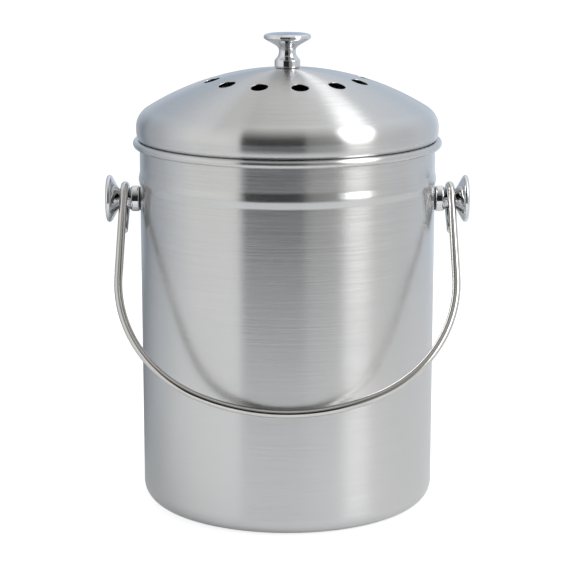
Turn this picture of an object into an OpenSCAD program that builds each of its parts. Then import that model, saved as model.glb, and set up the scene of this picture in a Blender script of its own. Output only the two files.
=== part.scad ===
// Countertop compost caddy: a drawn steel pail with a rolled rim, a domed
// lift-off lid with vent holes, a charcoal filter in a twist-in tray under the
// lid, and a wire bail that swings on two side knobs.
// Millimetres. +Z is up, -Y is the front, the origin is the centre of the
// underside of the pail.

/* [Pail] */
// Outside diameter of the straight wall
pail_d = 175; // [170:0.5:180]
// Thickness of the drawn sheet
sheet = 0.7; // [0.6:0.05:0.8]
// Height of the centre of the rolled rim
rim_z = 216.6; // [210:0.1:225]
// Thickness of the rolled rim
roll_d = 4.6; // [4.4:0.1:5]
// Radius of the rounded corner at the base
base_round = 10; // [6:0.5:14]
// Height of the crest of the bead round the wall
bead_z = 195.5; // [194:0.1:198]
// How far the bead stands out of the wall
bead_h = 0.8; // [0.4:0.05:1]
// Height of the bead from edge to edge
bead_w = 8.7; // [6:0.1:9]

/* [Lid] */
// Outside diameter of the lid
lid_d = 178.8; // [178:0.1:181]
// Outside radius of the dome
dome_r = 158; // [154:1:170]
// Radius where the dome turns down into the skirt
knuckle_r = 12; // [10:0.5:13]
// Diameter of one vent hole
vent_d = 10; // [6:0.5:11]
// Number of vent holes
vent_n = 12; // [8:1:14]
// Distance of the vent holes from the middle of the lid
vent_ring_r = 45; // [35:1:55]
// Angle of the first vent hole from the front
vent_turn = 9.3; // [0:0.1:30]

/* [Knobs] */
// Height of a knob
knob_h = 20.2; // [19:0.1:22]
// Diameter of a knob's head
knob_head_d = 28; // [26:0.5:30]
// Height of the two side knobs above the base
pivot_z = 182.4; // [178:0.1:183]
// Diameter of the screws that hold the knobs, over the thread
screw_d = 3.9; // [3.4:0.1:3.9]

/* [Bail] */
// Diameter of the bail's rod
rod_d = 4.8; // [4.5:0.1:5]
// Distance from the knobs' axis to the middle of the grip
bail_reach = 140.4; // [138:0.1:150]
// Half the distance between the two eyes
eye_x = 97; // [96.8:0.1:97.4]
// Spread of each leg from straight down
leg_spread = 1.4; // [0.5:0.1:2]
// Radius of the two side bends
side_bend_r = 80; // [60:1:90]
// Radius of the grip's bend
grip_bend_r = 126; // [110:1:160]

/* [Filter] */
// Diameter of the charcoal filter pad
filter_d = 154.4; // [140:0.2:154.6]
// Thickness of the charcoal filter pad
filter_t = 6; // [4:0.5:8]

/* [Hidden] */
$fn = 96;

steel = [0.74, 0.74, 0.75];
bright = [0.86, 0.87, 0.88];
dark = [0.10, 0.10, 0.10];

pail_r = pail_d / 2;
pail_in_r = pail_r - sheet;
roll_r = roll_d / 2;
roll_c = pail_in_r + roll_r;
lid_r = lid_d / 2;
screw_hole_r = screw_d / 2 + 0.04;

// Points of an arc about (cx, cy)
function arc(cx, cy, r, a0, a1, n) =
  [for (i = [0:n]) let (a = a0 + (a1 - a0) * i / n)
    [cx + r * cos(a), cy + r * sin(a)]];
// The same, with its own radius each way
function oval(cx, cy, rx, ry, a0, a1, n) =
  [for (i = [0:n]) let (a = a0 + (a1 - a0) * i / n)
    [cx + rx * cos(a), cy + ry * sin(a)]];
function back(p) = [for (i = [len(p) - 1:-1:0]) p[i]];

// A smooth curve through points, k steps between neighbours
function cr(p0, p1, p2, p3, t) =
  0.5 * (2 * p1 + (p2 - p0) * t + (2 * p0 - 5 * p1 + 4 * p2 - p3) * t * t
    + (3 * p1 - p0 - 3 * p2 + p3) * t * t * t);
function smooth(p, k) = let (n = len(p))
  [for (i = [0:n - 2]) for (j = [0:(i == n - 2 ? k : k - 1)])
    cr(p[max(i - 1, 0)], p[i], p[i + 1], p[min(i + 2, n - 1)], j / k)];

// ---- pail ----

// The bead's rise at u, from -1 at its lower edge to 1 at its upper edge
bead_half = [[0, 1], [0.1, 0.975], [0.22, 0.88], [0.5, 0.56], [0.75, 0.27],
  [0.9, 0.08], [1, 0]];
bead_us = concat([for (i = [6:-1:1]) [-bead_half[i][0], bead_half[i][1]]],
  bead_half);
function wall_with_bead(r) =
  [for (b = bead_us) [r + bead_h * b[1], bead_z + bead_w / 2 * b[0]]];

// The stiffening groove pressed up in the floor
function floor_groove(z, s) =
  [[58 - s, z], [60.6 - s / 2, z + 0.8], [63.4 + s / 2, z + 0.8], [66 + s, z]];

// The curl turns outwards and down, and ends just short of the wall
pail_outer = concat([[0, 0]], floor_groove(0, 0),
  arc(pail_r - base_round, base_round, base_round, -90, 0, 12),
  wall_with_bead(pail_r),
  arc(roll_c, rim_z, roll_r - sheet, 180, -118, 30));
pail_inner = concat([[0, sheet]], floor_groove(sheet, 0.4),
  arc(pail_r - base_round, base_round, base_round - sheet, -90, 0, 12),
  wall_with_bead(pail_in_r),
  arc(roll_c, rim_z, roll_r, 180, -118, 30));

module pail_shell() {
  color(steel) difference() {
    rotate_extrude($fn = 128) polygon(concat(pail_outer, back(pail_inner)));
    for (s = [-1, 1])
      translate([s * (pail_r - 4), 0, pivot_z]) rotate([0, 90, 0])
        cylinder(r = screw_hole_r, h = 12, center = true, $fn = 48);
  }
}

// ---- knob ----

// Height and radius down the knob's turned outline
head_r = knob_head_d / 2;
knob_pts = [[6.7, 0], [7.35, 0.4], [7.6, 1.0], [7.62, 2.4], [7.6, 3.9],
  [7.4, 4.7], [6.6, 5.6], [5.7, 6.8], [5.15, 8.2], [5.0, 9.9], [5.45, 11.6],
  [7.3, 13.3], [head_r - 2.3, 15.8], [head_r - 0.6, 16.85], [head_r, 17.9],
  [head_r - 0.25, 18.9], [head_r - 1.2, 19.6], [head_r - 3.6, 19.95],
  [0, 20.2]];
screw_len = 10.5;

// The knob stands on z = 0 and points up +Z, with a blind screw hole
module knob() {
  difference() {
    rotate_extrude($fn = 96)
      polygon(concat([[0, 0]], [for (p = smooth(knob_pts, 4))
        [max(p[0], 0), p[1] * knob_h / 20.2]]));
    translate([0, 0, -1])
      cylinder(r = screw_d / 2 + 0.05, h = screw_len + 2.2, $fn = 48);
  }
}

// A pan-head screw whose head's flat side is at z = 0: the head is below and
// the shank goes up
head_h = 3;
module pan_screw(shank) {
  difference() {
    union() {
      rotate_extrude($fn = 48)
        polygon(concat([[0, -head_h], [1.8, -head_h]],
          arc(2.6, -1.6, 1.4, -90, 0, 6), [[4, 0], [0, 0]]));
      cylinder(r = screw_d / 2, h = shank, $fn = 48);
    }
    for (a = [0, 90]) rotate([0, 0, a])
      translate([-2.1, -0.5, -head_h - 1]) cube([4.2, 1, 2.6]);
  }
}

module flat_ring(r1, r2, t) {
  difference() {
    cylinder(r = r2, h = t, $fn = 64);
    translate([0, 0, -1]) cylinder(r = r1, h = t + 2, $fn = 48);
  }
}

// A split lock washer
module split_ring(r1, r2, t) {
  difference() {
    flat_ring(r1, r2, t);
    translate([0, 0, t / 2]) rotate([0, 35, 0])
      translate([-0.4, 0, -3]) cube([0.8, r2 + 1, 6]);
  }
}

// Places a child that points up +Z so that it points out of the wall, on the
// right for s = 1 and on the left for s = -1, with z = 0 at x from the axis
module on_side(s, x) {
  translate([s * x, 0, pivot_z]) rotate([0, s * 90, 0]) children();
}

gasket_t = 0.4;
knob_x = pail_r + gasket_t;
seal_x = pail_in_r - 1.2;
flat_x = seal_x - 1;
lock_t = 0.9;
lock_x = flat_x - lock_t;

module side_knob_left() { color(bright) on_side(-1, knob_x) knob(); }
module side_knob_right() { color(bright) on_side(1, knob_x) knob(); }

// Thin gaskets under the knobs, hollowed to fit the round wall
module side_gaskets() {
  color(dark) for (s = [-1, 1]) difference() {
    on_side(s, pail_r - 1) flat_ring(screw_d / 2 + 0.3, 6.9, gasket_t + 1);
    translate([0, 0, pivot_z - 10]) cylinder(r = pail_r, h = 20, $fn = 720);
  }
}

// Sealing washers inside the wall, rounded to fit it
module side_seal_washers() {
  color(dark) for (s = [-1, 1]) intersection() {
    on_side(s, seal_x) flat_ring(screw_d / 2 + 0.3, 6.5, 2);
    translate([0, 0, pivot_z - 10])
      cylinder(r = pail_in_r, h = 20, $fn = 720);
  }
}

module side_flat_washers() {
  color(bright) for (s = [-1, 1])
    on_side(s, flat_x) flat_ring(screw_d / 2 + 0.2, 6, 1);
}

module side_lock_washers() {
  color(bright) for (s = [-1, 1])
    on_side(s, lock_x) split_ring(screw_d / 2 + 0.1, 3.8, lock_t);
}

module side_screws() {
  color(bright) for (s = [-1, 1])
    on_side(s, lock_x) pan_screw(knob_x + screw_len - lock_x);
}

// ---- lid ----

rim_top = rim_z + roll_r;
// The lid's lower edge rolls in with a long curve, hem_h high, which stays
// within a circle of curl_r that lies 0.3 above the rim
hem_h = 5.4;
curl_r = 2;
curl_c = lid_r - curl_r;
curl_z = rim_z
  + sqrt(pow(roll_r + curl_r + 0.3, 2) - pow(roll_c - curl_c, 2));
curl_low = curl_z - curl_r;
knuckle_c = lid_r - knuckle_r;
knuckle_z = curl_z + 5.4;
dome_z = knuckle_z - sqrt(pow(dome_r - knuckle_r, 2) - pow(knuckle_c, 2));
dome_a = atan2(knuckle_z - dome_z, knuckle_c);
dome_top = dome_z + dome_r;
dome_in_top = dome_top - sheet;
hem_in = curl_c - 1;

function lid_side(off) = concat(
  arc(0, dome_z, dome_r - off, 90, dome_a, 30),
  arc(knuckle_c, knuckle_z, knuckle_r - off, dome_a, 0, 12),
  oval(curl_c, curl_low + hem_h, curl_r - off, hem_h - off, 0, -90, 12),
  [[hem_in, curl_low + off]]);

vent_a = asin(vent_ring_r / dome_r);

module lid_shell() {
  color(steel) difference() {
    rotate_extrude($fn = 128)
      polygon(concat(lid_side(0), back(lid_side(sheet))));
    translate([0, 0, dome_top - 5])
      cylinder(r = screw_hole_r, h = 10, $fn = 48);
    for (i = [0:vent_n - 1])
      translate([0, 0, dome_z])
        rotate([0, 0, -90 + vent_turn + i * 360 / vent_n])
          rotate([0, vent_a, 0]) translate([0, 0, dome_r - 5])
            cylinder(d = vent_d, h = 10, $fn = 48);
  }
}

// The ring spot-welded inside the lid: its flange lies on the lid's hem, its
// neck drops into the pail's mouth, and three lugs at its foot carry the tray
neck_t = 0.6;
neck_r = hem_in - 0.2;
flange_z = curl_low + sheet;
neck_low = flange_z - 11.8;
lug_in = neck_r - 6.7;
lug_half = 12;
lug_at = [90, 210, 330];

// A flat sector from r1 to r2, t thick, spread a each side of the angle c
module sector(r1, r2, t, c, a) {
  rotate([0, 0, c - a])
    rotate_extrude(angle = 2 * a, $fn = 96)
      translate([r1, 0]) square([r2 - r1, t]);
}

module lid_ring() {
  color(steel) union() {
    rotate_extrude($fn = 128) polygon([
      [neck_r, neck_low], [neck_r, flange_z], [curl_c - 0.1, flange_z],
      [curl_c - 0.1, flange_z + neck_t], [neck_r - neck_t, flange_z + neck_t],
      [neck_r - neck_t, neck_low]]);
    for (c = lug_at) {
      translate([0, 0, neck_low])
        sector(lug_in, neck_r - neck_t / 2, neck_t, c, lug_half);
      // an upturned end on the lug stops the tray
      translate([0, 0, neck_low])
        sector(lug_in + 0.6, neck_r - neck_t / 2, 2.4,
          c - lug_half - 0.8, 0.3);
      translate([0, 0, neck_low])
        sector(lug_in + 0.6, neck_r - neck_t / 2, neck_t,
          c - lug_half - 0.3, 0.8);
    }
  }
}

module lid_knob() {
  color(bright) translate([0, 0, dome_top]) knob();
}

lid_flat_z = dome_in_top - 0.12 - 1;
lid_lock_z = lid_flat_z - lock_t;

module lid_flat_washer() {
  color(bright) translate([0, 0, lid_flat_z])
    flat_ring(screw_d / 2 + 0.2, 6, 1);
}

module lid_lock_washer() {
  color(bright) translate([0, 0, lid_lock_z])
    split_ring(screw_d / 2 + 0.1, 3.8, lock_t);
}

module lid_screw() {
  color(bright) translate([0, 0, lid_lock_z])
    pan_screw(dome_top + screw_len - lid_lock_z);
}

// ---- filter ----

tray_gap = 0.3;
tab_z = neck_low + neck_t + tray_gap;
tray_r = lug_in - 1;
tray_in_r = tray_r - neck_t;
tray_low = tab_z - 3.7;
hole_d = 8;

module filter_tray() {
  color(steel) difference() {
    union() {
      rotate_extrude($fn = 128) polygon(concat(
        [[0, tray_low]], arc(tray_r - 1.5, tray_low + 1.5, 1.5, -90, 0, 5),
        [[tray_r, tab_z + neck_t], [tray_in_r, tab_z + neck_t]],
        back(arc(tray_r - 1.5, tray_low + 1.5, 0.9, -90, 0, 5)),
        [[0, tray_low + neck_t]]));
      for (c = lug_at)
        translate([0, 0, tab_z])
          sector(tray_r - neck_t / 2, neck_r - neck_t - 1, neck_t, c, 11);
    }
    translate([0, 0, tray_low - 1]) cylinder(d = hole_d, h = 3, $fn = 32);
    for (k = [1:3]) for (i = [0:6 * k - 1])
      rotate([0, 0, i * 60 / k]) translate([k * 21.5, 0, tray_low - 1])
        cylinder(d = hole_d, h = 3, $fn = 32);
  }
}

module filter_pad() {
  color(dark) translate([0, 0, tray_low + neck_t + 0.05])
    rotate_extrude($fn = 96)
      polygon(concat([[0, 0], [filter_d / 2 - 1.6, 0]],
        arc(filter_d / 2 - 1, 1, 1, -60, 0, 4),
        arc(filter_d / 2 - 1, filter_t - 1, 1, 0, 60, 4),
        [[filter_d / 2 - 1.6, filter_t], [0, filter_t]]));
}

// ---- bail ----

rod_r = rod_d / 2;
// The eye's wire passes round the knob's neck with about 0.4 to spare
eye_r = 7.8;
// The side bend meets the grip's bend at this angle from straight down
bend_a = leg_spread + asin((eye_x * cos(leg_spread)
  + (bail_reach - grip_bend_r) * sin(leg_spread) - side_bend_r)
  / (grip_bend_r - side_bend_r));
bend_x = (grip_bend_r - side_bend_r) * sin(bend_a);
bend_t = bail_reach - grip_bend_r + (grip_bend_r - side_bend_r) * cos(bend_a);
leg_end = bend_t - side_bend_r * sin(leg_spread);
// The tail leaves the eye on a tangent and closes on the leg
tail_n = eye_r - rod_d - 0.3;
tail_t = 22.6;
tail_d = norm([tail_n, tail_t]);
tail_a = atan2(tail_t, tail_n) + acos(eye_r / tail_d);
tail_len = sqrt(tail_d * tail_d - eye_r * eye_r);
// At rest the grip lies 0.3 off the front of the wall
rest_a = asin((pail_r + rod_r + 0.3) / norm([bail_reach, eye_r]))
  - atan2(eye_r, bail_reach);

// The rod is bent from one wire. Its stretches stop a hair short of each
// other, and a core inside the wire carries on through each meeting place.
hair = 0.02;
module core() { sphere(r = rod_r - 0.2, $fn = 32); }

// A bend of rod in the XY plane about the origin, from angle 0 to a
module bend(r, a) {
  t = hair / r * 180 / PI;
  rotate([0, 0, t]) rotate_extrude(angle = a - 2 * t, $fn = 128)
    translate([r, 0]) circle(r = rod_r, $fn = 32);
}

// A straight stretch of rod from the origin down to z = -l
module straight(l) {
  translate([0, 0, hair - l]) cylinder(r = rod_r, h = l - 2 * hair, $fn = 32);
}

// A bend about (x, z) in the plane of the legs
module leg_plane_bend(x, z, r, a0, a1) {
  translate([x, -eye_r, z]) rotate([90, 0, 0]) rotate([0, 0, a0])
    bend(r, a1 - a0);
}
module leg_plane_core(x, z, r, a) {
  translate([x + r * cos(a), -eye_r, z + r * sin(a)]) core();
}

// The right half's leg, eye and tail
module leg_and_eye() {
  translate([eye_x, -eye_r, 0]) rotate([0, -leg_spread, 0]) {
    straight(leg_end / cos(leg_spread));
    core();
    translate([0, eye_r, 0]) rotate([90, 0, 90])
      rotate([0, 0, tail_a - 180]) {
        bend(eye_r, 360 - tail_a);
        translate([eye_r, 0, 0]) {
          rotate([-90, 0, 0]) straight(tail_len);
          core();
        }
      }
  }
}

module bail_half() {
  leg_plane_core(bend_x, -bend_t, side_bend_r, -90 + bend_a);
  leg_plane_bend(bend_x, -bend_t, side_bend_r, -90 + bend_a, leg_spread);
  leg_plane_core(bend_x, -bend_t, side_bend_r, leg_spread);
  leg_and_eye();
}

module bail_handle() {
  color(bright) translate([0, 0, pivot_z]) rotate([-rest_a, 0, 0]) union() {
    leg_plane_bend(0, -(bail_reach - grip_bend_r), grip_bend_r,
      -90 - bend_a, -90 + bend_a);
    bail_half();
    mirror([1, 0, 0]) bail_half();
  }
}

pail_shell();
side_knob_left();
side_knob_right();
side_gaskets();
side_seal_washers();
side_flat_washers();
side_lock_washers();
side_screws();
lid_shell();
lid_ring();
lid_knob();
lid_flat_washer();
lid_lock_washer();
lid_screw();
filter_tray();
filter_pad();
bail_handle();
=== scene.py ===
import math

import bpy
import numpy as np
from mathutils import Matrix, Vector


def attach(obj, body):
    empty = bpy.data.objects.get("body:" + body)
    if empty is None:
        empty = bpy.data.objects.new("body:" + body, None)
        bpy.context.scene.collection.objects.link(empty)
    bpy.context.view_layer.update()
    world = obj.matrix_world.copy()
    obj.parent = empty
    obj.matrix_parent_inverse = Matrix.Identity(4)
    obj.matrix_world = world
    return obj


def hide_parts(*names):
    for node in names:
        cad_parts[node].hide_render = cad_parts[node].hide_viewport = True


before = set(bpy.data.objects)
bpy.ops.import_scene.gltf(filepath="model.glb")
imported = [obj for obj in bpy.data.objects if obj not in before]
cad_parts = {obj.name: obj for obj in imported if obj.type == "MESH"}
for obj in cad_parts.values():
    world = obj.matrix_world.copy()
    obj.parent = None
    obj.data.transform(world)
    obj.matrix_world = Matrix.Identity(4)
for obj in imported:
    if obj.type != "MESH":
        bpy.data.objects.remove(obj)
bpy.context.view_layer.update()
MM = 0.001
rad = math.radians


# ---------------------------------------------------------------- mesh tools

class Shape:
    """Vertices in millimetres with a length along the profile, and faces."""

    def __init__(self):
        self.v, self.lay, self.f = [], [], []

    def add(self, p, lay=0.0):
        self.v.append((p[0], p[1], p[2]))
        self.lay.append(lay)
        return len(self.v) - 1

    def face(self, *ids):
        ids = [i for k, i in enumerate(ids) if i != ids[k - 1]]
        if len(ids) > 2:
            self.f.append(tuple(ids))

    def build(self, name, material, body, replaces, sharp=38):
        used = sorted({i for f in self.f for i in f})
        new = {i: k for k, i in enumerate(used)}
        me = bpy.data.meshes.new(name)
        me.from_pydata(
            [tuple(c * MM for c in self.v[i]) for i in used], [],
            [tuple(new[i] for i in f) for f in self.f])
        at = me.attributes.new("lay", "FLOAT", "POINT")
        at.data.foreach_set(
            "value", np.array([self.lay[i] * MM for i in used], np.float32))
        me.shade_smooth()
        me.set_sharp_from_angle(angle=rad(sharp))
        me.update()
        ob = bpy.data.objects.new(name, me)
        bpy.context.scene.collection.objects.link(ob)
        me.materials.append(material)
        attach(ob, body)
        if replaces:
            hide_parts(*replaces)
        return ob


def arc(cx, cz, r, a0, a1, step):
    n = max(2, int(math.ceil(abs(a1 - a0) / step)))
    return [(cx + r * math.cos(rad(a0 + (a1 - a0) * i / n)),
             cz + r * math.sin(rad(a0 + (a1 - a0) * i / n)))
            for i in range(n + 1)]


def line(p, q, step):
    n = max(1, int(math.ceil(math.dist(p, q) / step)))
    return [(p[0] + (q[0] - p[0]) * i / n, p[1] + (q[1] - p[1]) * i / n)
            for i in range(n + 1)]


def chain(*parts):
    """Joins runs of points, dropping the repeats where they meet."""
    out = []
    for part in parts:
        for p in part:
            if not out or math.dist(out[-1], p) > 1e-4:
                out.append(p)
    return out


def catmull(p, k):
    out = []
    for i in range(len(p) - 1):
        p0, p1, p2, p3 = p[max(i - 1, 0)], p[i], p[i + 1], p[min(i + 2, len(p) - 1)]
        for j in range(k + (i == len(p) - 2)):
            t = j / k
            out.append(tuple(
                0.5 * (2 * b + (c - a) * t + (2 * a - 5 * b + 4 * c - d) * t * t
                       + (3 * b - a - 3 * c + d) * t ** 3)
                for a, b, c, d in zip(p0, p1, p2, p3)))
    return out


def lays_of(prof):
    out = [0.0]
    for a, b in zip(prof, prof[1:]):
        out.append(out[-1] + math.dist(a, b))
    return out


def lathe(shape, prof, n, closed, keep=None, place=None):
    """Turns a profile of (r, z) round +Z. keep(row, column) says which faces
    are made. Returns the grid of vertex numbers."""
    lays = lays_of(prof)
    place = place or (lambda x, y, z: (x, y, z))
    grid = []
    for (r, z), s in zip(prof, lays):
        if r < 1e-6:
            i = shape.add(place(0, 0, z), s)
            grid.append([i] * n)
        else:
            grid.append([
                shape.add(place(r * math.sin(2 * math.pi * j / n),
                                -r * math.cos(2 * math.pi * j / n), z), s)
                for j in range(n)])
    rows = len(prof) if closed else len(prof) - 1
    for i in range(rows):
        a, b = grid[i], grid[(i + 1) % len(prof)]
        for j in range(n):
            if keep is None or keep(i, j):
                k = (j + 1) % n
                shape.face(a[j], b[j], b[k], a[k])
    return grid


def ring_faces(shape, a, b, flip=False):
    n = len(a)
    for j in range(n):
        k = (j + 1) % n
        if flip:
            shape.face(a[j], a[k], b[k], b[j])
        else:
            shape.face(a[j], b[j], b[k], a[k])


def patch(shape, border, round_point, onto, lay_of, steps):
    """Fills between a border of grid vertices and a round hole. round_point(i)
    is the hole's point for border vertex i, and onto puts a point on the
    surface. Returns the hole's ring of vertices."""
    outer = border
    starts = [np.array(shape.v[i]) for i in border]
    ends = [np.array(round_point(i)) for i in range(len(border))]
    for s in range(1, steps + 1):
        t = s / steps
        t = t * (1.6 - 0.6 * t)
        ring = []
        for a, b in zip(starts, ends):
            p = b if s == steps else onto(a + (b - a) * t)
            ring.append(shape.add(p, lay_of(p)))
        yield outer, ring
        outer = ring


def border_of(grid, i0, i1, j0, j1):
    """Grid vertices round a block of cells, in order."""
    n = len(grid[0])
    out = [grid[i0][j % n] for j in range(j0, j1)]
    out += [grid[i][j1 % n] for i in range(i0, i1)]
    out += [grid[i1][j % n] for j in range(j1, j0, -1)]
    out += [grid[i][j0 % n] for i in range(i1, i0, -1)]
    return out


# ---------------------------------------------------------------- materials

def nodes_of(name):
    m = bpy.data.materials.new(name)
    m.use_nodes = True
    nt = m.node_tree
    nt.nodes.clear()
    out = nt.nodes.new("ShaderNodeOutputMaterial")
    b = nt.nodes.new("ShaderNodeBsdfPrincipled")
    nt.links.new(b.outputs[0], out.inputs[0])
    return m, nt, b


def math_node(nt, op, a, b=None, c=None):
    n = nt.nodes.new("ShaderNodeMath")
    n.operation = op
    for k, x in enumerate((a, b, c)):
        if x is None:
            continue
        if isinstance(x, (int, float)):
            n.inputs[k].default_value = x
        else:
            nt.links.new(x, n.inputs[k])
    return n.outputs[0]


def combine(nt, x, y, z):
    n = nt.nodes.new("ShaderNodeCombineXYZ")
    for k, s in enumerate((x, y, z)):
        if isinstance(s, (int, float)):
            n.inputs[k].default_value = s
        else:
            nt.links.new(s, n.inputs[k])
    return n.outputs[0]


def noise(nt, vec, scale, detail=2.0, rough=0.5):
    n = nt.nodes.new("ShaderNodeTexNoise")
    n.inputs["Scale"].default_value = scale
    n.inputs["Detail"].default_value = detail
    n.inputs["Roughness"].default_value = rough
    nt.links.new(vec, n.inputs["Vector"])
    return n.outputs["Fac"]


def ramp(nt, fac, stops, ease="LINEAR"):
    n = nt.nodes.new("ShaderNodeValToRGB")
    n.color_ramp.interpolation = ease
    els = n.color_ramp.elements
    while len(els) < len(stops):
        els.new(1.0)
    for e, (p, c) in zip(els, stops):
        e.position = p
        e.color = (*c, 1) if len(c) == 3 else c
    nt.links.new(fac, n.inputs[0])
    return n.outputs[0]


def bump(nt, height, strength, distance, normal=None):
    n = nt.nodes.new("ShaderNodeBump")
    n.inputs["Strength"].default_value = strength
    n.inputs["Distance"].default_value = distance
    nt.links.new(height, n.inputs["Height"])
    if normal is not None:
        nt.links.new(normal, n.inputs["Normal"])
    return n.outputs[0]


def position(nt):
    tc = nt.nodes.new("ShaderNodeTexCoord")
    sep = nt.nodes.new("ShaderNodeSeparateXYZ")
    nt.links.new(tc.outputs["Object"], sep.inputs[0])
    return tc.outputs["Object"], sep.outputs[0], sep.outputs[1], sep.outputs[2]


def along_profile(nt):
    n = nt.nodes.new("ShaderNodeAttribute")
    n.attribute_type = "GEOMETRY"
    n.attribute_name = "lay"
    return n.outputs["Fac"]


def grey(v, warm=0.0):
    return (v * (1 + warm), v, v * (1 - warm))


def brushed(name, rough, lo, hi, warm, line_mm, depth, lathe_made=True, ease=0.0):
    """Steel brushed round the axis: fine lines along the brushing, slow
    changes between them, and light that spreads across them."""
    m, nt, b = nodes_of(name)
    obj, x, y, z = position(nt)
    if lathe_made:
        s = along_profile(nt)
    else:
        s = math_node(nt, "SUBTRACT", math_node(
            nt, "SQRT", math_node(nt, "ADD", math_node(nt, "MULTIPLY", x, x),
                                  math_node(nt, "MULTIPLY", y, y))), z)
    k = 1.0 / (line_mm * MM)
    fine = noise(nt, combine(
        nt, math_node(nt, "MULTIPLY", x, 34), math_node(nt, "MULTIPLY", y, 34),
        math_node(nt, "MULTIPLY", s, k)), 1.0, 3.0, 0.65)
    wide = noise(nt, combine(
        nt, math_node(nt, "MULTIPLY", x, 9), math_node(nt, "MULTIPLY", y, 9),
        math_node(nt, "MULTIPLY", s, k / 3.5)), 1.0, 2.0, 0.5)
    band = noise(nt, combine(
        nt, math_node(nt, "MULTIPLY", x, 13), math_node(nt, "MULTIPLY", y, 13),
        math_node(nt, "MULTIPLY", s, k / 11)), 1.0, 2.5, 0.6)
    slow = noise(nt, obj, 14.0, 2.0, 0.5)
    mix = math_node(nt, "ADD", math_node(
        nt, "ADD", math_node(nt, "MULTIPLY", fine, 0.50), math_node(nt, "MULTIPLY", band, 0.16)),
        math_node(nt, "ADD", math_node(nt, "MULTIPLY", wide, 0.18),
                  math_node(nt, "MULTIPLY", slow, 0.16)))
    nt.links.new(ramp(nt, mix, [(0.34, grey(lo, warm)), (0.66, grey(hi, warm))]),
                 b.inputs["Base Color"])
    mr = nt.nodes.new("ShaderNodeMapRange")
    nt.links.new(mix, mr.inputs["Value"])
    for n_, v_ in (("From Min", 0.35), ("From Max", 0.65),
                   ("To Min", rough - 0.05), ("To Max", rough + 0.05)):
        mr.inputs[n_].default_value = v_
    r_out = mr.outputs[0]
    if ease:
        # finer brushing towards the rim
        out = math_node(nt, "SQRT", math_node(
            nt, "ADD", math_node(nt, "MULTIPLY", x, x), math_node(nt, "MULTIPLY", y, y)))
        er = nt.nodes.new("ShaderNodeMapRange")
        nt.links.new(out, er.inputs["Value"])
        for n_, v_ in (("From Min", 0.079), ("From Max", 0.087), ("To Min", 0.0), ("To Max", ease)):
            er.inputs[n_].default_value = v_
        r_out = math_node(nt, "SUBTRACT", r_out, er.outputs[0])
    nt.links.new(r_out, b.inputs["Roughness"])
    b.inputs["Metallic"].default_value = 1.0
    b.inputs["Anisotropic"].default_value = 0.98
    b.inputs["Anisotropic Rotation"].default_value = 0.25
    t = nt.nodes.new("ShaderNodeTangent")
    t.direction_type = "RADIAL"
    t.axis = "Z"
    nt.links.new(t.outputs[0], b.inputs["Tangent"])
    nt.links.new(bump(nt, fine, 0.5, depth * MM,
                      bump(nt, wide, 0.5, depth * MM,
                           bump(nt, band, 0.5, 0.8 * depth * MM))), b.inputs["Normal"])
    return m


def polished(name, colour, rough, grain, depth):
    """Plated or polished steel with a trace of polishing marks."""
    m, nt, b = nodes_of(name)
    obj, x, y, z = position(nt)
    marks = noise(nt, obj, grain, 3.0, 0.6)
    cloud = noise(nt, obj, grain / 7, 2.0, 0.5)
    nt.links.new(ramp(nt, cloud, [(0.3, tuple(c * 0.96 for c in colour)),
                                  (0.7, colour)]), b.inputs["Base Color"])
    mr = nt.nodes.new("ShaderNodeMapRange")
    nt.links.new(marks, mr.inputs["Value"])
    for n_, v_ in (("From Min", 0.3), ("From Max", 0.7),
                   ("To Min", rough * 0.7), ("To Max", rough * 1.3)):
        mr.inputs[n_].default_value = v_
    nt.links.new(mr.outputs[0], b.inputs["Roughness"])
    b.inputs["Metallic"].default_value = 1.0
    nt.links.new(bump(nt, marks, 0.3, depth * MM), b.inputs["Normal"])
    return m


def drawn_wire(name):
    """Polished rod with the faint lines of drawing along its length."""
    m, nt, b = nodes_of(name)
    obj, x, y, z = position(nt)
    s = along_profile(nt)
    tc = nt.nodes.new("ShaderNodeAttribute")
    tc.attribute_type = "GEOMETRY"
    tc.attribute_name = "turn"
    lines = noise(nt, combine(nt, math_node(nt, "MULTIPLY", s, 25),
                              math_node(nt, "MULTIPLY", tc.outputs["Fac"], 9), 0.0),
                  1.0, 2.0, 0.6)
    cloud = noise(nt, obj, 60.0, 2.0, 0.5)
    nt.links.new(ramp(nt, math_node(nt, "MULTIPLY", math_node(nt, "ADD", lines, cloud), 0.5),
                      [(0.35, (0.61, 0.60, 0.58)), (0.65, (0.71, 0.70, 0.685))]),
                 b.inputs["Base Color"])
    mr = nt.nodes.new("ShaderNodeMapRange")
    nt.links.new(lines, mr.inputs["Value"])
    for n_, v_ in (("From Min", 0.3), ("From Max", 0.7), ("To Min", 0.07), ("To Max", 0.11)):
        mr.inputs[n_].default_value = v_
    nt.links.new(mr.outputs[0], b.inputs["Roughness"])
    b.inputs["Metallic"].default_value = 1.0
    nt.links.new(bump(nt, lines, 0.3, 0.01 * MM), b.inputs["Normal"])
    return m


def rubber(name):
    m, nt, b = nodes_of(name)
    obj, x, y, z = position(nt)
    n = noise(nt, obj, 900.0, 3.0, 0.6)
    nt.links.new(ramp(nt, n, [(0.3, (0.016, 0.016, 0.017)), (0.7, (0.032, 0.032, 0.033))]),
                 b.inputs["Base Color"])
    b.inputs["Roughness"].default_value = 0.62
    nt.links.new(bump(nt, n, 0.4, 0.05 * MM), b.inputs["Normal"])
    return m


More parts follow.
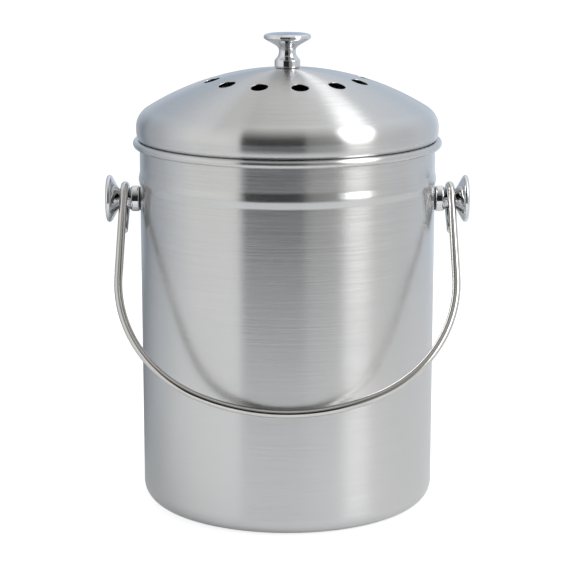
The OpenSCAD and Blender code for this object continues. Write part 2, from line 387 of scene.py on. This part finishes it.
def felt(name):
    """Charcoal felt: black fibres matted with specks of grey."""
    m, nt, b = nodes_of(name)
    obj, x, y, z = position(nt)
    fibre = noise(nt, obj, 1100.0, 4.0, 0.75)
    tuft = noise(nt, obj, 170.0, 3.0, 0.6)
    v = nt.nodes.new("ShaderNodeTexVoronoi")
    v.inputs["Scale"].default_value = 620.0
    nt.links.new(obj, v.inputs["Vector"])
    mix = math_node(nt, "ADD", math_node(nt, "MULTIPLY", fibre, 0.6),
                    math_node(nt, "MULTIPLY", tuft, 0.4))
    nt.links.new(ramp(nt, mix, [(0.35, (0.008, 0.008, 0.009)), (0.55, (0.02, 0.02, 0.021)),
                                (0.75, (0.055, 0.055, 0.057))]), b.inputs["Base Color"])
    b.inputs["Roughness"].default_value = 0.95
    b.inputs["Sheen Weight"].default_value = 0.15
    b.inputs["Sheen Roughness"].default_value = 0.5
    height = math_node(nt, "ADD", mix, math_node(nt, "MULTIPLY", v.outputs["Distance"], 0.5))
    nt.links.new(bump(nt, height, 0.8, 0.5 * MM), b.inputs["Normal"])
    return m


M_PAIL = brushed("brushed_steel_wall", 0.22, 0.615, 0.685, -0.006, 0.26, 0.05)
M_LID = brushed("brushed_steel_dome", 0.29, 0.63, 0.67, -0.006, 0.26, 0.018, True, 0.075)
M_CAD_BRUSHED = brushed("satin_steel", 0.34, 0.52, 0.62, 0.01, 0.45, 0.010, False)
M_KNOB = polished("polished_knob_steel", (0.76, 0.77, 0.79), 0.03, 700.0, 0.003)
M_BAIL = drawn_wire("polished_rod_steel")
M_FAST = polished("bright_fastener_steel", (0.66, 0.66, 0.67), 0.2, 900.0, 0.02)
M_RUBBER = rubber("black_rubber")
M_FELT = felt("charcoal_felt")

for node in ("side_flat_washers", "side_lock_washers", "side_screws",
             "lid_flat_washer", "lid_lock_washer", "lid_screw"):
    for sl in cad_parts[node].material_slots:
        sl.material = M_FAST
for node in ("side_gaskets", "side_seal_washers"):
    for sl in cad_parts[node].material_slots:
        sl.material = M_RUBBER
for node in ("lid_ring", "filter_tray"):
    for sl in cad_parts[node].material_slots:
        sl.material = M_CAD_BRUSHED


# ---------------------------------------------------------------- the pail

N = 360
HOLE_R = 1.99
PIVOT_Z = 182.4

bead_half = [(0, 1), (0.1, 0.975), (0.22, 0.88), (0.5, 0.56), (0.75, 0.27),
             (0.9, 0.08), (1, 0)]
bead_pts = [(-u, f) for u, f in reversed(bead_half[1:])] + bead_half
bead = catmull([(4.35 * u, 0.8 * f) for u, f in bead_pts], 5)


def groove(z, s):
    """The groove pressed up in the floor, with soft shoulders."""
    pts = [(54, z), (58 - s, z), (60.6 - s / 2, z + 0.8), (63.4 + s / 2, z + 0.8),
           (66 + s, z), (70, z)]
    return [(r, max(h, z)) for r, h in catmull(pts, 5)]


def pail_side(r_wall, z_floor, r_corner, s, r_curl):
    wall_pts = chain(
        line((0, z_floor), (54, z_floor), 3.0),
        groove(z_floor, s),
        line((70, z_floor), (77.5, z_floor), 1.5),
        arc(77.5, 10, r_corner, -90, 0, 4),
        line((r_wall, 10), (r_wall, 176.4), 2.0),
        line((r_wall, 176.4), (r_wall, 188.4), 1.0),
        line((r_wall, 188.4), (r_wall, 191.15), 0.9),
        [(r_wall + h, 195.5 + u) for u, h in bead],
        line((r_wall, 199.85), (r_wall, 216.6), 1.0),
        arc(89.1, 216.6, r_curl, 180, -116, 6))
    return wall_pts


outer = pail_side(87.5, 0.0, 10, 0.0, 1.6)
inner = pail_side(86.8, 0.7, 9.3, 0.4, 2.3)
# the cut edge at the end of the curl, softened
edge_mid = ((outer[-1][0] + inner[-1][0]) / 2, (outer[-1][1] + inner[-1][1]) / 2)
tip = (math.cos(rad(-118)), math.sin(rad(-118)))
edge = [(89.1 + r * tip[0], 216.6 + r * tip[1]) for r in (1.72, 1.95, 2.18)]
prof = chain(outer, edge, list(reversed(inner)))
n_out = len(outer)

pail = Shape()
row = {round(p[1], 3): i for i, p in enumerate(prof[:n_out]) if abs(p[0] - 87.5) < 1e-6}
o0, o1 = row[178.4], row[186.4]
last = len(prof) - 1
row_in = {round(p[1], 3): i for i, p in enumerate(prof) if i > n_out + 3 and abs(p[0] - 86.8) < 1e-6}
q1, q0 = row_in[178.4], row_in[186.4]
cols = ((90 - 4, 90 + 4), (270 - 4, 270 + 4))


def pail_keep(i, j):
    side = any(a <= j < b for a, b in cols)
    return not (side and (o0 <= i < o1 or q0 <= i < q1))


grid = lathe(pail, prof, N, False, pail_keep)
for j0, j1 in cols:
    sx = 1 if j0 < 180 else -1
    rings = []
    for r_wall, i0, i1 in ((87.5, o0, o1), (86.8, q0, q1)):
        border = border_of(grid, i0, i1, j0, j1)

        def round_point(k, border=border, r_wall=r_wall):
            p = pail.v[border[k]]
            t = math.atan2(p[2] - PIVOT_Z, p[1])
            y, z = HOLE_R * math.cos(t), PIVOT_Z + HOLE_R * math.sin(t)
            return (sx * math.sqrt(r_wall ** 2 - y * y), y, z)

        def onto(p, r_wall=r_wall):
            k = r_wall / math.hypot(p[0], p[1])
            return (p[0] * k, p[1] * k, p[2])

        base_lay = pail.lay[grid[i0][j0]] + (-1 if r_wall < 87 else 1) * (0 - pail.v[grid[i0][j0]][2])

        def lay_of(p, r_wall=r_wall, base_lay=base_lay):
            return base_lay + (-1 if r_wall < 87 else 1) * p[2]

        for a, b in patch(pail, border, round_point, onto, lay_of, 4):
            ring_faces(pail, a, b, flip=False)
        rings.append(b)
    # both borders run the same way round in their own grids, so the inner one
    # is matched to the outer by the nearest point
    out_r, in_r = rings
    order = []
    for i in out_r:
        p = pail.v[i]
        order.append(min(in_r, key=lambda q: (pail.v[q][1] - p[1]) ** 2 + (pail.v[q][2] - p[2]) ** 2))
    ring_faces(pail, out_r, order)
pail_ob = pail.build("pail_body", M_PAIL, "pail", ["pail_shell"])


# ---------------------------------------------------------------- the lid

DOME_Z, KNUCKLE_Z = 102.479, 226.274
HEM_LOW, HEM_H = 218.874, 5.4
VENT_POLAR = math.degrees(math.asin(45 / 158))
EDGE_POLAR = 32.0
# the dome meets the knuckle where both circles share a tangent
EDGE_POLAR = 90 - math.degrees(math.atan2(KNUCKLE_Z - DOME_Z, 77.4))


def dome(r, a0, a1, step):
    n = int(math.ceil(abs(a1 - a0) / step))
    return [(r * math.sin(rad(a0 + (a1 - a0) * i / n)),
             DOME_Z + r * math.cos(rad(a0 + (a1 - a0) * i / n))) for i in range(n + 1)]


ZONE = 2.95
HOLE_POLAR_OUT = math.degrees(math.asin(HOLE_R / 158))


def roll_in(off, n):
    """The lid's lower edge: a long curve in, down to the turned-under hem."""
    return [(87.4 + (2.0 - off) * math.cos(rad(-90 * i / n)),
             HEM_LOW + HEM_H + (HEM_H - off) * math.sin(rad(-90 * i / n)))
            for i in range(n + 1)]


def lid_side(r_dome, r_knuckle, r_skirt, off):
    a_hole = math.degrees(math.asin(HOLE_R / r_dome))
    return chain(
        dome(r_dome, a_hole, VENT_POLAR - ZONE, 0.6),
        dome(r_dome, VENT_POLAR - ZONE, VENT_POLAR + ZONE, 2 * ZONE / 16),
        dome(r_dome, VENT_POLAR + ZONE, EDGE_POLAR, 0.6),
        arc(77.4, KNUCKLE_Z, r_knuckle, 90 - EDGE_POLAR, 0, 2.5),
        line((r_skirt, KNUCKLE_Z), (r_skirt, HEM_LOW + HEM_H), 0.6),
        roll_in(off, 24),
        line((87.4, HEM_LOW + off), (86.5, HEM_LOW + off), 0.5))


lid_out = lid_side(158, 12, 89.4, 0.0)
lid_in = lid_side(157.3, 11.3, 88.7, 0.7)
hem = [(86.42, 218.95), (86.4, 219.05), (86.4, 219.4), (86.42, 219.5)]
prof = chain(lid_out, hem, list(reversed(lid_in)))
n_out = len(lid_out)


def nearest_row(rows, polar, r_dome):
    r, z = r_dome * math.sin(rad(polar)), DOME_Z + r_dome * math.cos(rad(polar))
    return min(rows, key=lambda i: math.dist(prof[i], (r, z)))


u0 = nearest_row(range(n_out), VENT_POLAR - ZONE, 158)
u1 = nearest_row(range(n_out), VENT_POLAR + ZONE, 158)
w1 = nearest_row(range(n_out + 4, len(prof)), VENT_POLAR - ZONE, 157.3)
w0 = nearest_row(range(n_out + 4, len(prof)), VENT_POLAR + ZONE, 157.3)
# the grid's columns are turned so that the vents sit on them
TURN = 9.3
HALF = 10
vents = [(30 * k - HALF, 30 * k + HALF) for k in range(12)]


def turned(x, y, z):
    c, s = math.cos(rad(TURN)), math.sin(rad(TURN))
    return (x * c - y * s, x * s + y * c, z)


def lid_keep(i, j):
    at = (j + HALF) % 30
    return not (at < 2 * HALF and (u0 <= i < u1 or w0 <= i < w1))


lid = Shape()
grid = lathe(lid, prof, N, True, lid_keep, turned)
C = np.array([0, 0, DOME_Z])
VENT_R = 5.0
for k, (j0, j1) in enumerate(vents):
    az = rad(-90 + TURN + 30 * k)
    n_dir = np.array([math.sin(rad(VENT_POLAR)) * math.cos(az),
                      math.sin(rad(VENT_POLAR)) * math.sin(az),
                      math.cos(rad(VENT_POLAR))])
    e1 = np.array([-math.sin(az), math.cos(az), 0])
    e2 = np.cross(n_dir, e1)
    rings = []
    for r_dome, i0, i1, hole in ((158.0, u0, u1, VENT_R + 0.32), (157.3, w0, w1, VENT_R + 0.1)):
        border = border_of(grid, i0, i1, j0 + (N if j0 < 0 else 0), j1 + (N if j0 < 0 else 0))

        def angle(i):
            p = np.array(lid.v[i]) - C
            return math.atan2(p @ e2, p @ e1)

        def ring_point(t, r, drop=0.0, r_dome=r_dome):
            h = math.sqrt(r_dome ** 2 - r * r) - drop
            return C + n_dir * h + r * (math.cos(t) * e1 + math.sin(t) * e2)

        angles = [angle(i) for i in border]

        def onto(p, r_dome=r_dome):
            d = p - C
            return C + d * (r_dome / np.linalg.norm(d))

        s_mid = lid.lay[grid[(i0 + i1) // 2][j0]]
        s_dir = -1 if r_dome < 158 else 1

        def lay_of(p, s_mid=s_mid, s_dir=s_dir, r_dome=r_dome):
            d = np.array(p) - C
            polar = math.acos(max(-1, min(1, d[2] / np.linalg.norm(d))))
            return s_mid + s_dir * (polar - rad(VENT_POLAR)) * r_dome

        for a, b in patch(lid, border, lambda q: ring_point(angles[q], hole), onto, lay_of, 6):
            ring_faces(lid, a, b)
        rings.append((b, angles, ring_point, lay_of))
    # the wall of the hole: the punch drew the edge in, then cut straight
    (ring, angles, point, lay_of), (ring_in, angles_in, point_in, lay_in) = rings
    depths = ((VENT_R + 0.17, 0.035), (VENT_R + 0.06, 0.11), (VENT_R, 0.24), (VENT_R, 0.56))
    for r, drop in depths:
        new = []
        for t in angles:
            p = point(t, r, drop)
            new.append(lid.add(p, lay_of(p)))
        ring_faces(lid, ring, new)
        ring = new
    order = [ring_in[min(range(len(angles_in)),
                         key=lambda q: abs(math.remainder(angles_in[q] - t, 2 * math.pi)))]
             for t in angles]
    ring_faces(lid, ring, order)
lid_ob = lid.build("lid_dome", M_LID, "lid", ["lid_shell"])


# ---------------------------------------------------------------- the knobs

knob_pts = [(0, 20.2), (10.4, 19.95), (12.8, 19.6), (13.75, 18.9), (14, 17.9),
            (13.4, 16.85), (11.7, 15.8), (7.3, 13.3), (5.45, 11.6), (5.0, 9.9),
            (5.15, 8.2), (5.7, 6.8), (6.6, 5.6), (7.4, 4.7), (7.6, 3.9),
            (7.62, 2.4), (7.6, 1.0), (7.35, 0.4), (6.7, 0)]
knob_line = [(max(r, 0), min(z, 20.2)) for r, z in catmull(knob_pts, 10)]
knob_prof = chain(knob_line, line((6.7, 0), (2.0, 0), 1.2), line((2.0, 0), (2.0, 11.7), 3),
                  line((2.0, 11.7), (0, 11.7), 1))


def knob(name, place, body, node):
    s = Shape()
    lathe(s, knob_prof, 144, False, None, place)
    return s.build(name, M_KNOB, body, [node], 50)


knob("knob_on_lid", lambda x, y, z: (x, y, z + 260.479), "lid", "lid_knob")
knob("knob_right", lambda x, y, z: (87.9 + z, y, PIVOT_Z - x), "pail", "side_knob_right")
knob("knob_left", lambda x, y, z: (-87.9 - z, y, PIVOT_Z + x), "pail", "side_knob_left")


# ---------------------------------------------------------------- the bail

EYE_R, EYE_X, REACH, GRIP_R, SIDE_R, ROD_R = 7.8, 97.0, 140.4, 126.0, 80.0, 2.4
SPREAD = rad(1.4)
bend_a = SPREAD + math.asin((EYE_X * math.cos(SPREAD) + (REACH - GRIP_R) * math.sin(SPREAD)
                             - SIDE_R) / (GRIP_R - SIDE_R))
bend_x = (GRIP_R - SIDE_R) * math.sin(bend_a)
bend_t = REACH - GRIP_R + (GRIP_R - SIDE_R) * math.cos(bend_a)
tail_n, tail_t = EYE_R - 2 * ROD_R - 0.3, 22.6
tail_d = math.hypot(tail_n, tail_t)
tail_a = math.atan2(tail_t, tail_n) + math.acos(EYE_R / tail_d)
tail_len = math.sqrt(tail_d ** 2 - EYE_R ** 2)
rest_a = (math.asin((87.5 + ROD_R + 0.3) / math.hypot(REACH, EYE_R))
          - math.atan2(EYE_R, REACH))


def half_rod():
    """The middle line of the right half, from the tail's end to the grip's
    middle, with the bail hanging straight down."""
    pts = []

    def leg(a, b, shift=0.0):
        # a is across the leg and b up it, in the plane of the eye
        c, s = math.cos(SPREAD), math.sin(SPREAD)
        return (EYE_X - b * s + shift, -EYE_R + EYE_R + a, b * c)

    th0 = tail_a - math.pi
    d = (math.sin(th0), -math.cos(th0))
    start = (EYE_R * math.cos(th0), EYE_R * math.sin(th0))
    n = 16
    for i in range(n, 0, -1):
        l = tail_len * i / n
        pts.append(leg(start[0] + d[0] * l, start[1] + d[1] * l,
                       -0.9 * (0.49 + 0.51 * i / n)))
    n = 72
    for i in range(n + 1):
        t = th0 + (math.pi - th0) * i / n
        k = 1 - i / n
        pts.append(leg(EYE_R * math.cos(t), EYE_R * math.sin(t),
                       -0.44 * k * k * (3 - 2 * k)))
    end_t = bend_t - SIDE_R * math.sin(SPREAD)
    length = end_t / math.cos(SPREAD)
    n = 18
    for i in range(1, n):
        pts.append(leg(-EYE_R, -length * i / n))
    n = 70
    for i in range(n + 1):
        t = SPREAD + (-math.pi / 2 + bend_a - SPREAD) * i / n
        pts.append((bend_x + SIDE_R * math.cos(t), -EYE_R, -bend_t + SIDE_R * math.sin(t)))
    n = 30
    for i in range(1, n + 1):
        t = -math.pi / 2 + bend_a * (1 - i / n)
        pts.append((GRIP_R * math.cos(t), -EYE_R, -(REACH - GRIP_R) + GRIP_R * math.sin(t)))
    return pts


half = half_rod()
path = half + [(-x, y, z) for x, y, z in reversed(half[:-1])]
ca, sa = math.cos(rest_a), math.sin(rest_a)
path = [np.array((x, y * ca + z * sa, -y * sa + z * ca + PIVOT_Z)) for x, y, z in path]


def tube(name, path, r, sides, material, body, node):
    s = Shape()
    turn = []
    tans = []
    for i in range(len(path)):
        d = path[min(i + 1, len(path) - 1)] - path[max(i - 1, 0)]
        tans.append(d / np.linalg.norm(d))
    side = np.cross(tans[0], np.array([1.0, 0, 0]))
    side /= np.linalg.norm(side)
    rings, along = [], 0.0
    # a small round on each cut end
    first = [(-0.0, 0.80), (0.12, 0.92), (0.45, 1.0)]
    stations = [(path[0] + tans[0] * a, tans[0], f * r, a) for a, f in first]
    stations += [(p, t, r, None) for p, t in zip(path[1:-1], tans[1:-1])]
    stations += [(path[-1] - tans[-1] * a, tans[-1], f * r, None) for a, f in reversed(first)]
    prev = stations[0][0]
    for p, t, rr, _ in stations:
        side = side - t * (side @ t)
        side /= np.linalg.norm(side)
        up = np.cross(t, side)
        along += float(np.linalg.norm(p - prev))
        prev = p
        ring = []
        for j in range(sides):
            a = 2 * math.pi * j / sides
            ring.append(s.add(p + rr * (math.cos(a) * side + math.sin(a) * up), along))
            turn.append(abs(2 * j / sides - 1))
        rings.append(ring)
    for a, b in zip(rings, rings[1:]):
        ring_faces(s, a, b, flip=True)
    for ring, p, lay, flip in ((rings[0], stations[0][0], 0.0, False),
                               (rings[-1], stations[-1][0], along, True)):
        c = s.add(p, lay)
        turn.append(0.5)
        for j in range(sides):
            k = (j + 1) % sides
            s.face(*((ring[j], ring[k], c) if not flip else (ring[k], ring[j], c)))
    ob = s.build(name, material, body, [node], 50)
    at = ob.data.attributes.new("turn", "FLOAT", "POINT")
    at.data.foreach_set("value", np.array(turn, np.float32))
    return ob


tube("bail_rod", path, ROD_R, 40, M_BAIL, "bail", "bail_handle")


# ---------------------------------------------------------------- the pad

def pad():
    """Pressed charcoal felt: rounded cut edges and a surface that isn't quite
    flat, inside the space of its CAD solid."""
    z0, z1, r_pad = 205.624, 211.624, 77.2
    prof = chain(line((0, z0), (r_pad - 1.5, z0), 1.6),
                 arc(r_pad - 1.5, z0 + 1.5, 1.5, -90, 0, 18),
                 line((r_pad, z0 + 1.5), (r_pad, z1 - 2.0), 0.8),
                 arc(r_pad - 2.0, z1 - 2.0, 2.0, 0, 90, 15),
                 line((r_pad - 2.0, z1), (0, z1), 1.4))
    s = Shape()
    lathe(s, prof, 240, False)
    for i, (x, y, z) in enumerate(s.v):
        r = math.hypot(x, y)
        if z > z0 + 2:
            w = (math.sin(x * 0.21 + 1.3) * math.sin(y * 0.19 + 0.4)
                 + 0.6 * math.sin(x * 0.47 + y * 0.31)
                 + 0.5 * math.sin(y * 0.63 - x * 0.22 + 2.0)) / 2.1
            d = 0.22 + 0.20 * w
            s.v[i] = (x, y, z - d * min(1, (z - z0 - 2) / 3.5))
        k = 1 - (0.0022 + 0.002 * math.sin(7 * math.atan2(y, x) + 0.5)
                 + 0.0012 * math.sin(19 * math.atan2(y, x))) * min(1, r / r_pad)
        s.v[i] = (s.v[i][0] * k, s.v[i][1] * k, s.v[i][2])
    ob = s.build("charcoal_pad", M_FELT, "filter_pad", ["filter_pad"], 60)
    return ob


pad()


# ---------------------------------------------------------------- the studio

def disc(name, r, n, material):
    me = bpy.data.meshes.new(name)
    rings = [0.12, 0.3, r]
    v = [(0, 0, -0.0003)]
    f = []
    for k, q in enumerate(rings):
        v += [(q * math.sin(2 * math.pi * j / n), -q * math.cos(2 * math.pi * j / n), -0.0003)
              for j in range(n)]
    for j in range(n):
        f.append((0, 1 + j, 1 + (j + 1) % n))
    for k in range(len(rings) - 1):
        a, b = 1 + k * n, 1 + (k + 1) * n
        for j in range(n):
            f.append((a + j, b + j, b + (j + 1) % n, a + (j + 1) % n))
    me.from_pydata(v, [], f)
    me.materials.append(material)
    ob = bpy.data.objects.new(name, me)
    bpy.context.scene.collection.objects.link(ob)
    return ob


def floor_material():
    """A white table top. What the camera sees of it is lifted to the white of
    the backdrop, so that only the shadow under the base shows."""
    m = bpy.data.materials.new("white_table")
    m.use_nodes = True
    nt = m.node_tree
    nt.nodes.clear()
    out = nt.nodes.new("ShaderNodeOutputMaterial")
    # painted light and shade on the table as reflections see it: whitest in front, under the panels,
    # dimmer behind, darkest to the back left in a painted shadow of the pail
    obj, x, y, z = position(nt)
    round_ = math_node(nt, "ADD", math_node(nt, "DIVIDE", math_node(
        nt, "ARCTAN2", x, math_node(nt, "MULTIPLY", y, -1.0)), 2 * math.pi), 0.5)
    painted_shade_tone = ramp(nt, round_, [
        (0.0, (0.50, 0.52, 0.545)), (0.09, (0.25, 0.27, 0.29)), (0.19, (0.68, 0.70, 0.72)),
        (0.28, (0.87, 0.88, 0.88)), (0.38, (0.955, 0.96, 0.965)), (0.42, (0.99, 1, 1.01)),
        (0.56, (0.99, 1, 1.01)), (0.64, (0.96, 0.96, 0.95)), (0.72, (0.89, 0.89, 0.88)),
        (0.80, (0.87, 0.87, 0.87)), (0.91, (0.78, 0.80, 0.82)), (1.0, (0.50, 0.52, 0.545))])
    white = nt.nodes.new("ShaderNodeMix")
    white.data_type = "RGBA"
    white.blend_type = "MULTIPLY"
    white.inputs["Factor"].default_value = 1.0
    sockets = [q for q in white.inputs if q.type == "RGBA"]
    nt.links.new(painted_shade_tone, sockets[0])
    sockets[1].default_value = (0.84, 0.84, 0.84, 1)
    dif = nt.nodes.new("ShaderNodeBsdfDiffuse")
    nt.links.new(next(q for q in white.outputs if q.type == "RGBA"), dif.inputs["Color"])
    # the table also glows faintly in the painted tone, a painted bounce light that reflections see
    lift = nt.nodes.new("ShaderNodeEmission")
    nt.links.new(painted_shade_tone, lift.inputs["Color"])
    lift.inputs["Strength"].default_value = 0.15
    table = nt.nodes.new("ShaderNodeAddShader")
    nt.links.new(dif.outputs[0], table.inputs[0])
    nt.links.new(lift.outputs[0], table.inputs[1])
    soft = nt.nodes.new("ShaderNodeBsdfDiffuse")
    soft.inputs["Color"].default_value = (0.45, 0.45, 0.445, 1)
    glow = nt.nodes.new("ShaderNodeEmission")
    glow.inputs["Color"].default_value = (1, 1, 1, 1)
    glow.inputs["Strength"].default_value = 0.82
    add = nt.nodes.new("ShaderNodeAddShader")
    nt.links.new(soft.outputs[0], add.inputs[0])
    nt.links.new(glow.outputs[0], add.inputs[1])
    lp = nt.nodes.new("ShaderNodeLightPath")
    mix = nt.nodes.new("ShaderNodeMixShader")
    nt.links.new(lp.outputs["Is Camera Ray"], mix.inputs[0])
    nt.links.new(table.outputs[0], mix.inputs[1])
    nt.links.new(add.outputs[0], mix.inputs[2])
    # from below, the table is clear
    geo = nt.nodes.new("ShaderNodeNewGeometry")
    clear = nt.nodes.new("ShaderNodeBsdfTransparent")
    side = nt.nodes.new("ShaderNodeMixShader")
    nt.links.new(geo.outputs["Backfacing"], side.inputs[0])
    nt.links.new(mix.outputs[0], side.inputs[1])
    nt.links.new(clear.outputs[0], side.inputs[2])
    nt.links.new(side.outputs[0], out.inputs[0])
    return m


floor = disc("table_top", 0.67, 96, floor_material())


def studio():
    """Light by direction: a dark stand in front, a tall softbox to its right, and
    white panels round and over the table. az is from the front (0) towards +X
    (90), el is above the horizon."""
    w = bpy.data.worlds.new("studio")
    bpy.context.scene.world = w
    w.use_nodes = True
    nt = w.node_tree
    nt.nodes.clear()
    out = nt.nodes.new("ShaderNodeOutputWorld")
    tc = nt.nodes.new("ShaderNodeTexCoord")
    sep = nt.nodes.new("ShaderNodeSeparateXYZ")
    nt.links.new(tc.outputs["Generated"], sep.inputs[0])
    x, y, z = sep.outputs
    az = math_node(nt, "MULTIPLY", math_node(
        nt, "ARCTAN2", x, math_node(nt, "MULTIPLY", y, -1.0)), 180 / math.pi)
    el = math_node(nt, "MULTIPLY", math_node(nt, "ARCSINE", z), 180 / math.pi)

    # The panels lean over the table towards the back, so their edges follow
    # the bisector between the direction and the studio's front at this height.
    front = rad(8.5)
    lean = nt.nodes.new("ShaderNodeVectorMath")
    lean.operation = "ADD"
    nt.links.new(tc.outputs["Generated"], lean.inputs[0])
    lean.inputs[1].default_value = (0.0, -math.cos(front), math.sin(front))
    unit = nt.nodes.new("ShaderNodeVectorMath")
    unit.operation = "NORMALIZE"
    nt.links.new(lean.outputs[0], unit.inputs[0])
    sep2 = nt.nodes.new("ShaderNodeSeparateXYZ")
    nt.links.new(unit.outputs[0], sep2.inputs[0])
    hx, hy, hz = sep2.outputs
    phi = math_node(nt, "MULTIPLY", math_node(
        nt, "ARCTAN2", hx, math_node(nt, "MULTIPLY", hy, -1.0)), 180 / math.pi)
    gam = math_node(nt, "MULTIPLY", math_node(nt, "ARCSINE", hz), 180 / math.pi)

    def at(a):
        return (a + 180) / 360

    def up(a):
        return (a + 90) / 180

    def blue(v, k=0.03):
        return (v * (1 - 1.6 * k), v, v * (1 + 2 * k))

    def warm(v, k=0.01):
        return (v * (1 + k), v, v * (1 - 2 * k))

    def step(value, a, b, ease="SMOOTHSTEP"):
        n = nt.nodes.new("ShaderNodeMapRange")
        n.interpolation_type = ease
        nt.links.new(value, n.inputs["Value"])
        n.inputs["From Min"].default_value = a
        n.inputs["From Max"].default_value = b
        return n.outputs[0]

    def mix(fac, a, b, kind="MIX"):
        n = nt.nodes.new("ShaderNodeMix")
        n.data_type = "RGBA"
        n.blend_type = kind
        if isinstance(fac, (int, float)):
            n.inputs["Factor"].default_value = fac
        else:
            nt.links.new(fac, n.inputs["Factor"])
        for k, s in (("A", a), ("B", b)):
            i = next(q for q in n.inputs if q.name == k and q.type == "RGBA")
            if isinstance(s, tuple):
                i.default_value = (*s, 1)
            else:
                nt.links.new(s, i)
        return next(q for q in n.outputs if q.type == "RGBA")

    # near the horizon the panels stand upright
    side = math_node(nt, "ADD", az, math_node(
        nt, "MULTIPLY", step(el, -2, 8), math_node(
            nt, "SUBTRACT", math_node(nt, "MULTIPLY", phi, 2.0), az)))
    side01 = math_node(nt, "ADD", math_node(nt, "DIVIDE", side, 360.0), 0.5)
    low = ramp(nt, side01, [
        (at(-180), blue(0.535, 0.06)), (at(-156), blue(0.45, 0.06)),
        (at(-142), blue(0.30, 0.06)), (at(-130), blue(0.46, 0.04)),
        (at(-113), blue(0.55, 0.02)), (at(-94), blue(0.75, 0.01)),
        (at(-76), warm(0.89)), (at(-50), warm(0.90)), (at(-35.9), warm(0.84)),
        (at(-34.6), blue(0.02)), (at(12.8), blue(0.02)), (at(14.4), warm(0.22, 0.02)),
        (at(39), warm(0.33)), (at(46), warm(0.66)), (at(52), warm(0.80)),
        (at(64), warm(0.80)), (at(72), warm(0.70)), (at(100), blue(0.66, 0.01)),
        (at(118), blue(0.72, 0.02)), (at(150), blue(0.70, 0.05)),
        (at(163), blue(0.84, 0.05)), (at(180), blue(0.535, 0.06))])
    dim = ramp(nt, side01, [
        (at(-36.5), (0, 0, 0)), (at(-34), grey(0.11)), (at(-12), grey(0.02)),
        (at(12), grey(0.02)), (at(15), grey(0.05)), (at(39), grey(0.03)), (at(46), (0, 0, 0))])
    # below the horizon in front, past the table's edge, the room is grey
    below = math_node(nt, "SUBTRACT", 1.0, step(el, -9, -5.5))
    low = mix(below, low, dim, "ADD")
    # and the panels to its left are dimmer
    shade = ramp(nt, side01, [
        (at(-120), (1, 1, 1)), (at(-95), grey(0.90)), (at(-60), grey(0.82)), (at(-37), grey(0.90)),
        (at(-20), (1, 1, 1))])
    low = mix(below, low, shade, "MULTIPLY")
    high = ramp(nt, math_node(nt, "ADD", math_node(nt, "DIVIDE", phi, 180.0), 0.5), [
        (up(-90), blue(0.65, 0.05)), (up(-78), blue(0.60, 0.07)), (up(-60), blue(0.66, 0.05)),
        (up(-50), blue(0.73, 0.03)), (up(-40), blue(0.82, 0.015)), (up(-31.5), blue(0.83, 0.01)),
        (up(-29.5), warm(0.68)), (up(-20), warm(0.76)), (up(-10), warm(0.90)), (up(0), warm(0.94)),
        (up(10), warm(0.98)), (up(20), warm(0.96, 0)), (up(36), blue(0.92, 0.01)),
        (up(50), blue(0.90, 0.025)), (up(62), blue(0.82, 0.04)), (up(72), blue(0.71, 0.06)),
        (up(82), blue(0.64, 0.06)), (up(90), blue(0.65, 0.05))])
    sky = mix(step(gam, 18, 60, "LINEAR"), low, high)
    # the ceiling is bluer than the panels
    top = ramp(nt, math_node(nt, "DIVIDE", gam, 90.0), [
        (70 / 90, (1, 1, 1)), (82 / 90, (0.95, 0.99, 1.04)), (86 / 90, (0.80, 0.86, 0.95)),
        (1.0, (0.64, 0.70, 0.80))])
    sky = mix(1.0, sky, top, "MULTIPLY")
    # the softbox is widest at its middle and fades overhead
    wide = nt.nodes.new("ShaderNodeMapRange")
    nt.links.new(math_node(nt, "ABSOLUTE", math_node(nt, "SUBTRACT", gam, 38.0)),
                 wide.inputs["Value"])
    for n_, v_ in (("From Min", 4.0), ("From Max", 28.0), ("To Min", 6.5), ("To Max", 3.8)):
        wide.inputs[n_].default_value = v_
    off = math_node(nt, "SUBTRACT", math_node(
        nt, "ABSOLUTE", math_node(nt, "SUBTRACT", phi, 27.5)), wide.outputs[0])
    box = math_node(nt, "SUBTRACT", 1.0, step(off, -2.0, 2.6))
    lit = ramp(nt, math_node(nt, "DIVIDE", gam, 90.0), [
        (8 / 90, (0, 0, 0)), (17 / 90, (1, 1, 1)), (37 / 90, (1, 1, 1)),
        (51 / 90, grey(0.075)), (66 / 90, grey(0.034)), (84 / 90, grey(0.016))])
    box = math_node(nt, "MULTIPLY", box, lit)
    lamp = nt.nodes.new("ShaderNodeBackground")
    lamp.inputs["Color"].default_value = (1.0, 0.995, 0.985, 1)
    nt.links.new(math_node(nt, "MULTIPLY", box, 4.2), lamp.inputs["Strength"])
    back = nt.nodes.new("ShaderNodeBackground")
    nt.links.new(sky, back.inputs["Color"])
    add = nt.nodes.new("ShaderNodeAddShader")
    nt.links.new(back.outputs[0], add.inputs[0])
    nt.links.new(lamp.outputs[0], add.inputs[1])
    white = nt.nodes.new("ShaderNodeBackground")
    white.inputs["Color"].default_value = (1, 1, 1, 1)
    white.inputs["Strength"].default_value = 1.05
    lp = nt.nodes.new("ShaderNodeLightPath")
    pick = nt.nodes.new("ShaderNodeMixShader")
    nt.links.new(lp.outputs["Is Camera Ray"], pick.inputs[0])
    nt.links.new(add.outputs[0], pick.inputs[1])
    nt.links.new(white.outputs[0], pick.inputs[2])
    nt.links.new(pick.outputs[0], out.inputs[0])


studio()

cam = bpy.data.cameras.new("camera")
cam.sensor_width = 36.0
cam.lens = 126.6
cam.clip_start, cam.clip_end = 0.02, 20.0
cam_ob = bpy.data.objects.new("camera", cam)
cam_ob.location = (0.00152, -1.2, 0.392)
cam_ob.rotation_euler = (rad(90 - 12.48), 0, 0)
bpy.context.scene.collection.objects.link(cam_ob)
bpy.context.scene.camera = cam_ob

view = bpy.context.scene.view_settings
view.view_transform = "Standard"
view.look = "None"
view.exposure = 0.0
view.gamma = 1.0
